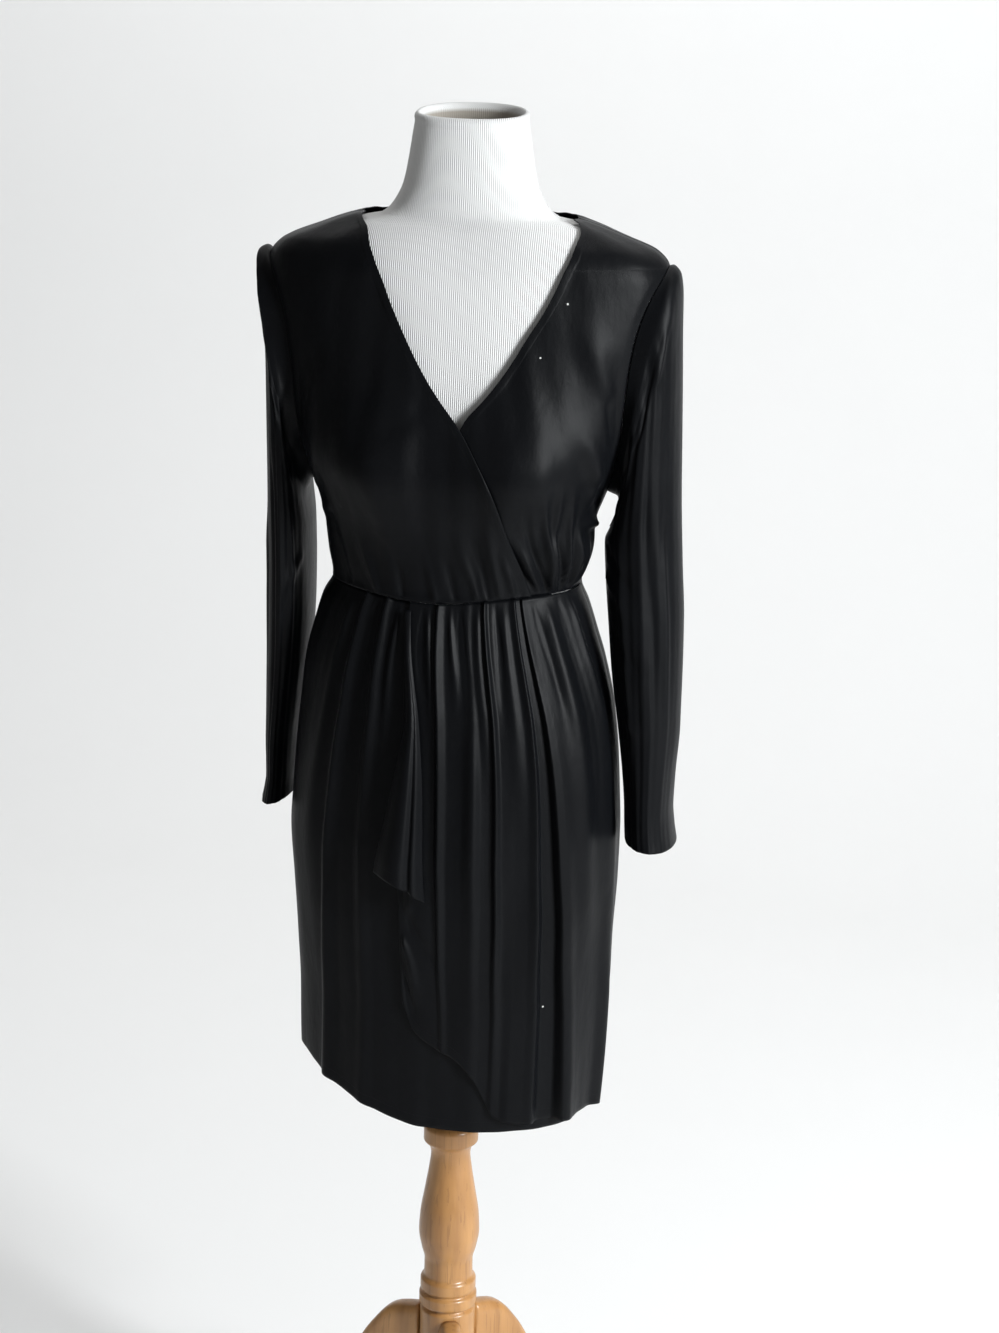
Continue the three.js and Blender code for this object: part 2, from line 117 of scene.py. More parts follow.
# The neck of the form: height, half the width, depth to the front, depth to the back.
NECK = [
    (1509, 94, 49, 72),
    (1515, 85, 46, 67),
    (1525, 77, 44, 61),
    (1542, 69, 42, 57),
    (1566, 64, 41, 54),
    (1592, 60, 40, 52),
    (1611, 57, 39, 51),
]
# Front edges of the bodice: height, angle.
RIGHT_FRONT_EDGE = [
    (1120, 39), (1143, 43), (1207, 60), (1272, 74), (1307, 83.5), (1336, 95.5), (1355, 103),
    (1393, 116), (1431, 127), (1451, 132), (1465, 136.5), (1477, 140.5), (1497, 149.5),
    (1504, 157), (1510, 167),
]
LEFT_FRONT_EDGE = [
    (1120, 134), (1180, 124), (1230, 112), (1270, 100), (1307, 84), (1318, 81), (1338, 72),
    (1358, 64), (1378, 57), (1398, 51), (1418, 45), (1438, 40), (1457, 36), (1472, 32),
    (1486, 27.5), (1503, 16.5), (1510, 8),
]
# Hems: angle, height.
OVER_HEM = [
    (0, 556), (33, 566), (50, 566), (58, 568), (63, 574), (66, 586), (73, 618), (80, 637),
    (90, 650), (100, 668), (105, 700),
]
UNDER_HEM = [
    (30, 554), (60, 554), (95, 557), (120, 571), (140, 591), (160, 608), (180, 618),
]
BACK_HEM = [
    (180, 618), (210, 598), (250, 577), (290, 566), (330, 560), (360, 556),
]

# Folds: angle at the waist, angle at the hem, how far out at the waist, half way and the hem.
OVER_FOLDS = [
    (SEAM_ANGLE, SEAM_ANGLE, 0, 0, 0),
    (7, 7, 2, 2, 3),
    (14, 12, 3, 5, 8),
    (22, 18, 3, 4, 4),
    (30, 25, 3, 5, 6),
    (38, 30, 3.5, 7, 10),
    (44, 33.5, 5, 10, 13),
    (46.5, 36, 6, 10, 12),
    (47.5, 38.5, 3, 3, 3.5),
    (49.2, 44, 3, 3, 3),
    (50.4, 48, 6, 8, 8),
    (53, 52, 3.5, 5, 7),
    (58, 57, 3, 3.5, 7),
    (63, 61, 3, 4, 5),
    (65.5, 64, 6.5, 7, 5),
    (67.2, 66.5, 3, 3, 3.5),
    (71, 70, 3, 4, 4),
    (75, 74, 4, 8, 5),
    (80, 79, 3, 4.5, 4),
    (86, 84, 3, 3, 3.5),
    (91, 87, 6.5, 6.5, 4.5),
    (93, 89.5, 3, 3, 3),
    (98, 95, 3, 3, 3),
    (103, 100, 3, 3, 3),
    (108, 105, 3, 3, 3.5),
]
UNDER_FOLDS = [
    (30, 30, 0, 0, 0),
    (60, 60, 0, 0, 0),
    (90, 90, 0, 0, 0),
    (101, 101, 0, 0, 0),
    (110, 110, 0, 0, 0.5),
    (117, 118, 0, 0, 1),
    (121, 124, 3.5, 4, 3),
    (124, 129, 0, 0.5, 1),
    (129, 136, 0, 0.5, 2),
    (133, 143, 3.5, 6, 6),
    (136, 147, 0, 1, 3),
    (146, 154, 0, 2, 2),
    (158, 164, 0, 2, 5),
    (169, 172, 0, 1, 2),
    (180 - SEAM_ANGLE, 180 - SEAM_ANGLE, 0, 0, 0),
]
BACK_FOLDS = [
    (180 + SEAM_ANGLE, 180 + SEAM_ANGLE, 0, 0, 0),
    (191, 190, 0, 1, 2),
    (203, 201, 0, 3, 7),
    (215, 214, 0, 1, 2),
    (227, 226, 2, 3, 3),
    (239, 238, 0, 3, 8),
    (251, 251, 0, 1, 2),
    (264, 264, 2, 3, 4),
    (277, 277, 0, 2, 7),
    (290, 290, 2, 2, 2),
    (302, 303, 0, 3, 6),
    (314, 315, 0, 1, 2),
    (326, 328, 2, 3, 8),
    (338, 340, 0, 1, 3),
    (349, 350, 0, 1, 2),
    (360 - SEAM_ANGLE, 360 - SEAM_ANGLE, 0, 0, 0),
]
# The loose edge of the wrap: height, near side, far side, swell.
CASCADE = [
    (845, 93.6, 115, 23),
    (862, 94, 114, 22),
    (890, 94.5, 112, 19),
    (930, 95.5, 109.5, 15),
    (970, 97, 107, 11),
    (1010, 99, 105, 7),
    (1040, 101, 105.5, 4),
    (1080, 104, 107.5, 2),
    (1116, 106, 109.5, 1),
]
CASCADE_DROP = 28.0
# Sleeves: outer edge and its height, inner edge and its height, half the depth, set back.
LEFT_SLEEVE = [
    (210, 1468, 162, 1226, 60, 2),
    (218, 1459.5, 163, 1219, 60, 2),
    (221, 1439, 162.5, 1211, 61, 2),
    (222, 1400, 160, 1204, 61, 2),
    (224, 1350, 156.5, 1197, 60, 1),
    (226, 1290, 153, 1190, 58, 0),
    (228, 1230, 150, 1180, 56, -1),
    (232, 1160, 152, 1148, 54, -3),
    (236, 1100, 157, 1096, 53, -5),
    (237, 1040, 163, 1038, 52, -7),
    (237, 985, 171, 985, 51, -8),
    (234, 932, 178, 932, 53, -8),
    (233, 898, 181, 900, 55, -8),
    (235, 875, 182, 878, 57, -8),
    (238, 857, 183, 862, 59, -8),
]
RIGHT_SLEEVE = [
    (212, 1472, 163, 1228, 58, 2),
    (220.5, 1466, 166, 1222, 60, 2),
    (217, 1446, 168, 1216, 62, 2),
    (210, 1404, 168, 1209, 64, 2),
    (209, 1350, 167, 1200, 65, 4),
    (209, 1290, 166, 1190, 66, 8),
    (209, 1230, 165, 1178, 66, 12),
    (209, 1160, 165, 1148, 66, 16),
    (210, 1100, 166, 1098, 66, 20),
    (211, 1040, 170, 1040, 66, 25),
    (212, 985, 176, 985, 67, 28),
    (213, 938, 181, 938, 68, 30),
    (212, 908, 183, 908, 68, 30),
    (214, 890, 184, 891, 69, 30),
    (217, 876, 184, 877, 70, 30),
]
# The turned post: radius, height.
POST = [
    (14, 168), (20, 180), (24, 194), (31, 204), (31, 280), (27, 284), (32.5, 288),
    (32.5, 299), (28, 302), (31.3, 306), (31.3, 317), (27.5, 322), (27.2, 341), (31, 357),
    (34, 376), (33, 396), (28.5, 425), (23.5, 456), (22, 470), (24, 480), (30.5, 487),
    (30.5, 501), (27, 507), (17, 511), (17, 789.6),
]
# A leg: distance out, height of its middle, thickness, width.
LEG = [
    (31.4, 250, 54, 27), (52, 247, 52, 27), (77, 226, 44, 26), (104, 187, 36, 25),
    (131, 138, 31, 25), (161, 89, 29, 26), (198, 46, 28, 28), (236, 20, 27, 31),
    (262, 13, 26, 34), (284, 13, 26, 35), (304, 13, 26, 34),
]
LEG_ANGLES = (75, 195, 315)
LEG_SQUARENESS = 0.6  # 1 is an ellipse, less is squarer

# ---- Creases, listed one by one ----
# Each runs between two spots on its piece: angle and height of both ends, half its width in
# millimetres, how far it stands out (below nought: how deep it sinks).
LEFT_FRONT_CREASES = [
    (31, 1136, 50, 1262, 3.2, 2.6),
    (33.5, 1136, 56, 1240, 2.6, -2.0),
    (28.5, 1136, 43, 1268, 3.0, 2.4),
    (26, 1136, 40, 1240, 2.6, -2.2),
    (24, 1136, 34, 1262, 3.4, 2.6),
    (21, 1136, 28, 1226, 3.0, -2.0),
    (18, 1136, 24, 1214, 3.4, 2.4),
    (36.5, 1136, 62, 1216, 3.4, 1.8),
    (39.5, 1138, 58, 1190, 3.0, -1.4),
    (13, 1140, 15, 1206, 4.0, 1.8),
    (20, 1236, 36, 1330, 9.0, 2.6),
    (17, 1290, 27, 1396, 8.0, -2.2),
    (22, 1340, 34, 1440, 10.0, 1.8),
    (12, 1226, 30, 1262, 6.0, -2.0),
    (8, 1200, 22, 1216, 6.0, 2.4),
]
RIGHT_FRONT_CREASES = [
    (58, 1130, 70, 1236, 4.5, 1.9),
    (63, 1128, 78, 1220, 4.0, -1.6),
    (70, 1127, 84, 1210, 5.0, 1.6),
    (51, 1134, 60, 1192, 3.6, 1.6),
    (80, 1126, 94, 1190, 5.0, -1.2),
    (92, 1125, 106, 1200, 5.5, 1.4),
    (112, 1127, 122, 1196, 5.0, -1.4),
    (128, 1130, 138, 1210, 5.0, 1.5),
    (146, 1132, 152, 1224, 6.0, -1.6),
    (158, 1236, 142, 1330, 9.0, 2.2),
    (160, 1300, 150, 1400, 8.0, -1.8),
    (150, 1216, 166, 1200, 6.0, 1.8),
    (104, 1330, 132, 1280, 12.0, -1.2),
]
BACK_BODICE_CREASES = [
    (196, 1136, 204, 1236, 6.0, 1.6),
    (214, 1136, 218, 1212, 5.0, -1.5),
    (236, 1136, 240, 1226, 6.0, 1.5),
    (256, 1136, 258, 1200, 5.0, -1.2),
    (282, 1136, 280, 1210, 6.0, 1.3),
    (304, 1136, 298, 1230, 5.0, -1.5),
    (326, 1136, 318, 1216, 6.0, 1.6),
    (344, 1136, 336, 1230, 5.0, -1.5),
    (205, 1262, 232, 1330, 12.0, 1.8),
    (335, 1262, 308, 1336, 12.0, 1.8),
    (240, 1180, 300, 1186, 9.0, -1.4),
]
OVER_SKIRT_CREASES = [
    (20, 1128, 15, 900, 5.0, 1.8),
    (27, 1130, 22, 840, 5.0, -1.8),
    (34, 1130, 27, 700, 8.0, 2.0),
    (41, 1126, 33, 960, 4.0, -1.4),
    (56, 1128, 54, 830, 6.0, 1.4),
    (60, 1128, 60, 980, 4.0, -1.6),
    (69, 1126, 68, 900, 5.0, 1.4),
    (78, 1126, 76, 940, 5.0, -1.6),
    (83, 1126, 82, 1000, 4.0, 1.6),
    (96, 1124, 93, 950, 4.0, 1.4),
    (100, 1124, 98, 1020, 3.0, -1.2),
    (104, 770, 96, 690, 5.0, 2.2),
    (101, 800, 90, 730, 6.0, -1.4),
    (105, 730, 98, 672, 4.0, -1.6),
    (104, 850, 99, 780, 4.0, 1.8),
]
UNDER_SKIRT_CREASES = [
    (113, 1124, 116, 930, 4.0, 1.4),
    (126, 1126, 132, 960, 4.0, -1.4),
    (139, 1128, 150, 840, 6.0, 1.6),
    (149, 1130, 160, 930, 6.0, -1.4),
    (163, 1130, 168, 760, 8.0, 1.6),
]
BACK_SKIRT_CREASES = [
    (197, 1130, 196, 900, 6.0, -1.4),
    (209, 1130, 208, 760, 7.0, 1.5),
    (233, 1130, 232, 860, 6.0, -1.4),
    (258, 1130, 258, 780, 7.0, 1.5),
    (271, 1130, 271, 900, 5.0, -1.3),
    (296, 1130, 297, 820, 6.0, -1.4),
    (320, 1130, 321, 780, 7.0, 1.5),
    (344, 1130, 345, 900, 6.0, -1.4),
]
# On a sleeve: turn round it and height of both ends, half the width, how far out. The turn is
# 0 on the inner edge, 90 in front, 180 on the outer edge.
LEFT_SLEEVE_CREASES = [
    (60, 1250, 96, 1440, 6.0, 3.0),
    (48, 1236, 78, 1400, 5.0, -2.8),
    (84, 1300, 120, 1456, 6.0, -2.4),
    (38, 1215, 62, 1330, 6.0, 2.4),
    (112, 1360, 150, 1462, 7.0, 2.0),
    (30, 1180, 96, 1120, 7.0, -2.0),
    (24, 1150, 84, 1100, 6.0, 2.4),
    (34, 1090, 110, 1040, 7.0, -1.8),
    (60, 1180, 66, 900, 8.0, 2.6),
    (104, 1240, 112, 960, 9.0, -2.4),
    (130, 1180, 128, 870, 8.0, 2.4),
    (40, 1010, 92, 980, 6.0, 1.8),
    (250, 1400, 290, 1240, 8.0, -2.4),
    (270, 1200, 262, 900, 9.0, 2.2),
    (220, 1300, 226, 950, 9.0, -2.0),
    (300, 1160, 240, 1110, 8.0, 2.0),
]
RIGHT_SLEEVE_CREASES = [
    (70, 1260, 100, 1440, 6.0, 2.6),
    (52, 1240, 82, 1390, 5.0, -2.4),
    (92, 1300, 126, 1450, 6.0, -2.2),
    (36, 1150, 100, 1100, 8.0, 2.0),
    (60, 1180, 70, 930, 9.0, 2.4),
    (112, 1240, 104, 960, 9.0, -2.4),
    (140, 1180, 134, 900, 7.0, 2.0),
    (250, 1400, 290, 1240, 8.0, -2.4),
    (270, 1200, 262, 920, 9.0, 2.2),
    (222, 1300, 228, 950, 9.0, -2.0),
]


def curve(table, column=1):
    """A smooth curve through one column of a table, against its first column."""
    xs = np.array([row[0] for row in table], float)
    ys = np.array([row[column] for row in table], float)
    steps = np.diff(ys) / np.diff(xs)
    before = np.concatenate(([steps[0]], steps))
    after = np.concatenate((steps, [steps[-1]]))
    same_way = before * after > 0
    total = np.where(same_way, before + after, 1.0)
    slopes = np.where(same_way, 2 * before * after / total, 0.0)

    def value(position):
        x = np.clip(position, xs[0], xs[-1])
        i = np.clip(np.searchsorted(xs, x) - 1, 0, len(xs) - 2)
        width = xs[i + 1] - xs[i]
        t = (x - xs[i]) / width
        return (
            (1 + 2 * t) * (1 - t) ** 2 * ys[i]
            + t * (1 - t) ** 2 * width * slopes[i]
            + t * t * (3 - 2 * t) * ys[i + 1]
            + t * t * (t - 1) * width * slopes[i + 1]
        )

    return value


def ease(value):
    """Nought to one with a soft start and stop."""
    t = np.clip(value, 0.0, 1.0)
    return t * t * (3 - 2 * t)


body_half, body_front, body_back, body_lean = (curve(BODY, i) for i in (1, 2, 3, 4))


def oval_radius(angle, half, front, back):
    """How far an oval reaches in one direction."""
    a = np.radians(angle)
    depth = np.where(np.sin(a) > 0, front, back)
    reach = (np.abs(np.cos(a)) / half) ** BODY_ROUNDNESS
    reach = reach + (np.abs(np.sin(a)) / depth) ** BODY_ROUNDNESS
    return reach ** (-1 / BODY_ROUNDNESS)


def bust_rise(angle, z):
    """How much the bust adds to the oval."""
    up = (z - BUST_HEIGHT) / np.where(z > BUST_HEIGHT, 62.0, 50.0)
    rise = sum(np.exp(-(((angle - at) / 21.0) ** 2) - up * up) for at in BUST_ANGLES)
    return np.where(np.sin(np.radians(angle)) > 0, 20.0 * rise, 0.0)


def body_radius(angle, z):
    """The line that the dress follows round the body."""
    return oval_radius(angle, body_half(z), body_front(z), body_back(z)) + bust_rise(angle, z)


def around(angle, radius, z):
    """Points at an angle, a radius and a height."""
    a = np.radians(angle)
    return np.stack(np.broadcast_arrays(radius * np.cos(a), -radius * np.sin(a), z), -1)


def body_line(angle, z, inset=0.0):
    """Points of the body line, or inside it."""
    points = around(angle, body_radius(angle, z) - inset, z)
    points[..., 0] += body_lean(z)
    return points


def on_body(angle, z, out):
    """Points of the body line, moved straight out from it."""
    along = body_line(angle + 0.5, z) - body_line(angle - 0.5, z)
    up = body_line(angle, z + 1) - body_line(angle, z - 1)
    outward = np.cross(up, along)
    outward /= np.linalg.norm(outward, axis=-1, keepdims=True)
    return body_line(angle, z) + outward * np.asarray(out)[..., None]


def creased(angle, z, table, millimetres_per_degree):
    """The soft troughs and ridges of a piece, fading to nothing at both ends."""
    total = np.zeros(np.broadcast(angle, z).shape)
    for a0, z0, a1, z1, width, height in table:
        dx, dz = (a1 - a0) * millimetres_per_degree, z1 - z0
        length = (dx * dx + dz * dz) ** 0.5
        px, pz = (angle - a0) * millimetres_per_degree, z - z0
        along = (px * dx + pz * dz) / (length * length)
        across = (px * dz - pz * dx) / length + 2.0 * np.sin(along * 5.0 + a0)
        fade = ease(along * 5 + 0.6) * ease((1 - along) * 1.6)
        wide = width * (0.7 + 0.9 * np.clip(along, 0, 1))
        total = total + height * fade * np.exp(-((across / wide) ** 2))
    return total


def ripple(angle, z, seed, size):
    """The slow unevenness of hanging cloth."""
    return size * (
        np.sin(angle * 0.21 + z * 0.006 + seed)
        + 0.7 * np.sin(angle * 0.47 - z * 0.011 + seed * 2.3)
        + 0.5 * np.sin(angle * 0.11 + z * 0.031 + seed * 3.1)
    )


def mesh_piece(name, points, quads, marks, material):
    """A mesh piece with its numbers for the material, riding on the CAD's one body."""
    mesh = bpy.data.meshes.new(name)
    shift = np.array([POST_AT[0], POST_AT[1], 0.0])
    mesh.from_pydata((points * MM + shift).tolist(), [], quads)
    for mark, values in marks.items():
        mesh.attributes.new(mark, "FLOAT", "POINT").data.foreach_set("value", values.ravel())
    mesh.polygons.foreach_set("use_smooth", [True] * len(mesh.polygons))
    mesh.materials.append(material)
    piece = bpy.data.objects.new(name, mesh)
    bpy.context.collection.objects.link(piece)
    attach(piece, "root")
    return piece


def grid_quads(rows, columns, start, flip, closed):
    """The faces of one skin of a grid of points."""
    quads = []
    for row in range(rows - 1):
        for column in range(columns if closed else columns - 1):
            a, b = row * columns + column, row * columns + (column + 1) % columns
            quad = (start + a, start + b, start + b + columns, start + a + columns)
            quads.append(quad[::-1] if flip else quad)
    return quads


def cloth(name, outer, inner, edge, along, material, closed=False, turned=False):
    """A shell of cloth between two grids of points, in place of the piece's plain solid."""
    rows, columns = outer.shape[:2]
    count = rows * columns
    quads = grid_quads(rows, columns, 0, turned, closed)
    quads += grid_quads(rows, columns, count, not turned, closed)
    top = (rows - 1) * columns
    for c in range(columns if closed else columns - 1):
        d = (c + 1) % columns
        for quad in ((c, count + c, count + d, d), (top + c, top + d, count + top + d,
                                                    count + top + c)):
            quads.append(quad[::-1] if turned else quad)
    if not closed:
        for r in range(rows - 1):
            a, b = r * columns, (r + 1) * columns
            e, f = a + columns - 1, b + columns - 1
            for quad in ((a, b, count + b, count + a), (e, count + e, count + f, f)):
                quads.append(quad[::-1] if turned else quad)
    points = np.concatenate((outer.reshape(-1, 3), inner.reshape(-1, 3)))
    marks = {
        "edge_mm": np.concatenate((edge.ravel(), edge.ravel())),
        "along_mm": np.concatenate((along.ravel(), along.ravel())),
    }
    piece = mesh_piece("dress_" + name, points, quads, marks, material)
    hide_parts(name)
    return piece


def edge_distance(points, sides):
    """How far each point of a grid lies from the named sides of its piece."""
    rows, columns = points.shape[:2]
    nearest = np.full((rows, columns), 400.0)
    down = np.linalg.norm(np.diff(points, axis=0), axis=2)
    run = np.concatenate((np.zeros((1, columns)), np.cumsum(down, axis=0)))
    across = np.linalg.norm(np.diff(points, axis=1), axis=2)
    turn = np.concatenate((np.zeros((rows, 1)), np.cumsum(across, axis=1)), axis=1)
    distances = {
        "bottom": run,
        "top": run[-1:] - run,
        "first": turn,
        "last": turn[:, -1:] - turn,
    }
    for side in sides:
        nearest = np.minimum(nearest, distances[side])
    return nearest, turn


# ---- Materials ----
def group(name, inputs, outputs):
    """A shader node group with named sockets."""
    tree = bpy.data.node_groups.new(name, "ShaderNodeTree")
    for label, kind, value in inputs:
        socket = tree.interface.new_socket(label, in_out="INPUT", socket_type=kind)
        if value is not None:
            socket.default_value = value
    for label, kind in outputs:
        tree.interface.new_socket(label, in_out="OUTPUT", socket_type=kind)
    return tree, tree.nodes.new("NodeGroupInput"), tree.nodes.new("NodeGroupOutput")


def maths(tree, operation, first, second=None, third=None, clamp=False):
    """A math node fed by sockets or numbers."""
    node = tree.nodes.new("ShaderNodeMath")
    node.operation = operation
    node.use_clamp = clamp
    for socket, value in zip(node.inputs, (first, second, third)):
        if value is None:
            continue
        if isinstance(value, (int, float)):
            socket.default_value = value
        else:
            tree.links.new(value, socket)
    return node.outputs[0]


def mark(tree, name):
    """The piece's own number at a point."""
    node = tree.nodes.new("ShaderNodeAttribute")
    node.attribute_name = name
    return node.outputs["Fac"]


def noise(tree, scale, detail=3.0, stretch=None):
    """Noise over the object, stretched along the axes if asked."""
    place = tree.nodes.new("ShaderNodeTexCoord").outputs["Object"]
    if stretch:
        mapping = tree.nodes.new("ShaderNodeMapping")
        mapping.inputs["Scale"].default_value = stretch
        tree.links.new(place, mapping.inputs["Vector"])
        place = mapping.outputs["Vector"]
    node = tree.nodes.new("ShaderNodeTexNoise")
    node.inputs["Scale"].default_value = scale
    node.inputs["Detail"].default_value = detail
    tree.links.new(place, node.inputs["Vector"])
    return node.outputs["Fac"]


def blend_colours(tree, share, first, second):
    """Two colours mixed by a share."""
    node = tree.nodes.new("ShaderNodeMix")
    node.data_type = "RGBA"
    tree.links.new(share, node.inputs["Factor"])
    for socket, value in ((node.inputs[6], first), (node.inputs[7], second)):
        if isinstance(value, tuple):
            socket.default_value = value
        else:
            tree.links.new(value, socket)
    return node.outputs[2]


def knit_group():
    """Knit stitches as a height: fine upright wales with a little unevenness."""
    tree, given, made = group(
        "knit surface",
        [("Around", "NodeSocketFloat", 0.0), ("Wale width", "NodeSocketFloat", 1.0),
         ("Unevenness", "NodeSocketFloat", 0.3)],
        [("Height", "NodeSocketFloat"), ("Groove", "NodeSocketFloat")],
    )
    turns = maths(tree, "DIVIDE", given.outputs["Around"], given.outputs["Wale width"])
    wave = maths(tree, "SINE", maths(tree, "MULTIPLY", turns, 2 * pi))
    share = maths(tree, "MULTIPLY_ADD", wave, 0.5, 0.5)
    fuzz = maths(tree, "MULTIPLY", noise(tree, 900.0, 2.0), given.outputs["Unevenness"])
    tree.links.new(maths(tree, "ADD", share, fuzz), made.inputs["Height"])
    tree.links.new(maths(tree, "SUBTRACT", 1.0, share, clamp=True), made.inputs["Groove"])
    return tree


def stitch_group():
    """A row of topstitching beside an edge, as a groove mask."""
    tree, given, made = group(
        "topstitching",
        [("Edge distance", "NodeSocketFloat", 100.0), ("Along", "NodeSocketFloat", 0.0),
         ("Set in", "NodeSocketFloat", 8.0)],
        [("Groove", "NodeSocketFloat"), ("Band", "NodeSocketFloat")],
    )
    away = maths(tree, "SUBTRACT", given.outputs["Edge distance"], given.outputs["Set in"])
    near = maths(tree, "ABSOLUTE", away)
    line = maths(tree, "SUBTRACT", 1.0, maths(tree, "DIVIDE", near, 0.9), clamp=True)
    dash = maths(tree, "SINE", maths(tree, "MULTIPLY", given.outputs["Along"], 2 * pi / 3.0))
    dash = maths(tree, "MULTIPLY_ADD", dash, 0.25, 0.75)
    tree.links.new(maths(tree, "MULTIPLY", line, dash), made.inputs["Groove"])
    tree.links.new(maths(tree, "LESS_THAN", away, 0.0), made.inputs["Band"])
    return tree


def lint_group():
    """A few tiny pale specks of lint."""
    tree, _, made = group("lint specks", [], [("Speck", "NodeSocketFloat")])
    place = tree.nodes.new("ShaderNodeTexCoord").outputs["Object"]
    cells = tree.nodes.new("ShaderNodeTexVoronoi")
    cells.inputs["Scale"].default_value = 42.0
    tree.links.new(place, cells.inputs["Vector"])
    tone = tree.nodes.new("ShaderNodeSeparateColor")
    tree.links.new(cells.outputs["Color"], tone.inputs["Color"])
    chosen = maths(tree, "GREATER_THAN", tone.outputs[0], 0.985)
    small = maths(tree, "LESS_THAN", cells.outputs["Distance"], 0.045)
    tree.links.new(maths(tree, "MULTIPLY", chosen, small), made.inputs["Speck"])
    return tree


KNIT, STITCH, LINT = knit_group(), stitch_group(), lint_group()


def use(tree, which, **given):
    """A node group placed in a material."""
    node = tree.nodes.new("ShaderNodeGroup")
    node.node_tree = which
    for label, value in given.items():
        socket = node.inputs[label.replace("_", " ")]
        if isinstance(value, (int, float)):
            socket.default_value = value
        else:
            tree.links.new(value, socket)
    return node.outputs


def plain_material(name, colour, roughness, **constants):
    """A material with its constants set on the shader."""
    material = bpy.data.materials.new(name)
    material.use_nodes = True
    shader = material.node_tree.nodes["Principled BSDF"]
    shader.inputs["Base Color"].default_value = (*colour, 1)
    shader.inputs["Roughness"].default_value = roughness
    for label, value in constants.items():
        shader.inputs[label.replace("_", " ")].default_value = value
    return material, material.node_tree, shader


def bump(tree, shader, height, strength, distance, below=None):
    """A bump into the shader's normal, on top of another if there is one."""
    node = tree.nodes.new("ShaderNodeBump")
    node.inputs["Strength"].default_value = strength
    node.inputs["Distance"].default_value = distance
    tree.links.new(height, node.inputs["Height"])
    if below:
        tree.links.new(below, node.inputs["Normal"])
    tree.links.new(node.outputs["Normal"], shader.inputs["Normal"])
    return node.outputs["Normal"]


def jersey_material(name, set_in):
    """Black jersey with a soft sheen, topstitched along its free edges."""
    material, tree, shader = plain_material(
        name, (0.003, 0.0032, 0.004), 0.5, Sheen_Weight=0.01, Sheen_Roughness=0.4,
        Specular_IOR_Level=0.1)
    shader.inputs["Sheen Tint"].default_value = (0.72, 0.8, 1.0, 1)
    knit = use(tree, KNIT, Around=mark(tree, "along_mm"), Wale_width=0.9, Unevenness=0.5)
    stitches = use(tree, STITCH, Edge_distance=mark(tree, "edge_mm"),
                   Along=mark(tree, "along_mm"), Set_in=set_in)
    worn = noise(tree, 9.0, 4.0)
    dyed = blend_colours(tree, worn, (0.0016, 0.0018, 0.0023, 1), (0.0034, 0.0038, 0.0048, 1))
    specks = use(tree, LINT)["Speck"]
    tree.links.new(blend_colours(tree, specks, dyed, (0.5, 0.5, 0.48, 1)),
                   shader.inputs["Base Color"])
    rough = maths(tree, "MULTIPLY_ADD", worn, 0.14, 0.38)
    tree.links.new(rough, shader.inputs["Roughness"])
    crinkle = bump(tree, shader, noise(tree, 38.0, 5.0, (1.0, 1.0, 0.45)), 0.55, 0.0022)
    first = bump(tree, shader, knit["Height"], 0.3, 0.00012, crinkle)
    second = bump(tree, shader, stitches["Groove"], -0.9, 0.0007, first)
    bump(tree, shader, stitches["Band"], 0.6, 0.0004, second)
    return material


def form_material():
    """White ribbed knit, pulled over the form, with painted shade darkening the grooves between
    the ribs.
    """
    material, tree, shader = plain_material("white rib knit", (0.8, 0.79, 0.76), 0.9,
                                            Sheen_Weight=0.15, Specular_IOR_Level=0.2)
    knit = use(tree, KNIT, Around=mark(tree, "along_mm"), Wale_width=2.1, Unevenness=0.6)
    # The grooves between the ribs are painted darker: this is painted shade in the rib grooves,
    # not a colour of the yarn.
    shade = maths(tree, "POWER", knit["Groove"], 2.0)
    ribbed = blend_colours(tree, shade, (0.74, 0.74, 0.73, 1), (0.62, 0.62, 0.61, 1))
    # The inside of the neck opening is coloured a mottled grey-brown, darker than the knit.
    inside = mark(tree, "edge_mm")
    inside_colour = blend_colours(tree, noise(tree, 30.0), (0.32, 0.29, 0.25, 1), (0.42, 0.39, 0.34, 1))
    tree.links.new(blend_colours(tree, inside, ribbed, inside_colour), shader.inputs["Base Color"])
    bump(tree, shader, knit["Height"], 0.7, 0.0006)
    return material


def oak_material():
    """Honey oak under a satin varnish, its grain running up the piece."""
    material, tree, shader = plain_material("honey oak", (0.5, 0.3, 0.13), 0.38,
                                            Coat_Weight=0.35, Coat_Roughness=0.2)
    grain = noise(tree, 60.0, 6.0, (1.0, 1.0, 0.06))
    pores = noise(tree, 260.0, 3.0, (1.0, 1.0, 0.04))
    tone = maths(tree, "MULTIPLY_ADD", grain, 1.8, -0.4, clamp=True)
    wood = blend_colours(tree, tone, (0.3, 0.135, 0.04, 1), (0.55, 0.29, 0.1, 1))
    dark = maths(tree, "GREATER_THAN", pores, 0.62)
    share = maths(tree, "MULTIPLY", dark, 0.35)
    tree.links.new(blend_colours(tree, share, wood, (0.2, 0.09, 0.03, 1)),
                   shader.inputs["Base Color"])
    tree.links.new(maths(tree, "MULTIPLY_ADD", grain, 0.2, 0.3), shader.inputs["Roughness"])
    bump(tree, shader, pores, 0.15, 0.0003)
    return material


JERSEY = jersey_material("black jersey", 8.0)
HEMMED_JERSEY = jersey_material("black jersey hemmed", 12.0)
RIB_KNIT = form_material()
OAK = oak_material()


def steps(count):
    return np.linspace(0, 1, max(int(count * FINE), 8))


# ---- Bodice ----
def armhole_reach(z, reach):
    """How far a bodice piece stays back from the side line."""
    share = 2 * (z - ARMHOLE_BOTTOM) / (ARMHOLE_TOP - ARMHOLE_BOTTOM) - 1
    return SEAM_ANGLE + reach * np.sqrt(np.clip(1 - share * share, 0, None))


def waist_seam(angle):
    """How much lower than the sides the waist seam hangs."""
    return -WAIST_DIP * np.exp(-(((angle - 97) / 42) ** 2))


